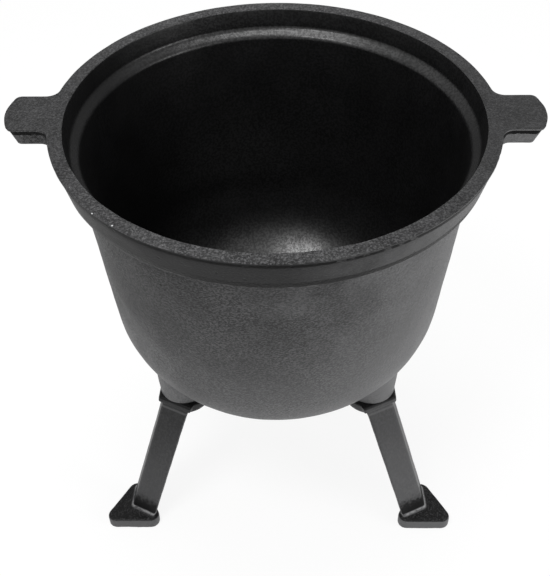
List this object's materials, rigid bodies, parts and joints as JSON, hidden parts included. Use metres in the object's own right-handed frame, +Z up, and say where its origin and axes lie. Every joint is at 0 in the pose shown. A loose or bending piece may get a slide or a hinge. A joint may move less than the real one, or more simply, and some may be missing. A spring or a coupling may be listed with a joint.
{
  "type": "cauldron",
  "caption": "Cast iron cauldron: round-bottomed bowl under a deep collar with a sunk lid seat and flat ears, standing on bolted angle legs with three-cornered feet.",
  "frame": {"origin": "on the floor, under the middle of the pot's mouth", "axes": "+Z up along the pot's axis, +X along the two ears, -Y the front, towards the gap between the two front legs"},
  "size_m": [0.3836, 0.3391, 0.386],
  "materials": {
    "pot_iron": "fine orange-peel casting skin, dark grey, satin",
    "leg_iron": "smoother casting skin, dark grey, satin",
    "dark_steel": "blackened"
  },
  "bodies": {
    "root": {"pot_body": "pot_iron", "leg_front_left": "leg_iron", "leg_front_right": "leg_iron", "leg_rear": "leg_iron", "washer_front_left": "dark_steel", "washer_front_right": "dark_steel", "washer_rear": "dark_steel", "bolt_front_left": "dark_steel", "bolt_front_right": "dark_steel", "bolt_rear": "dark_steel"}
  },
  "joints": []
}
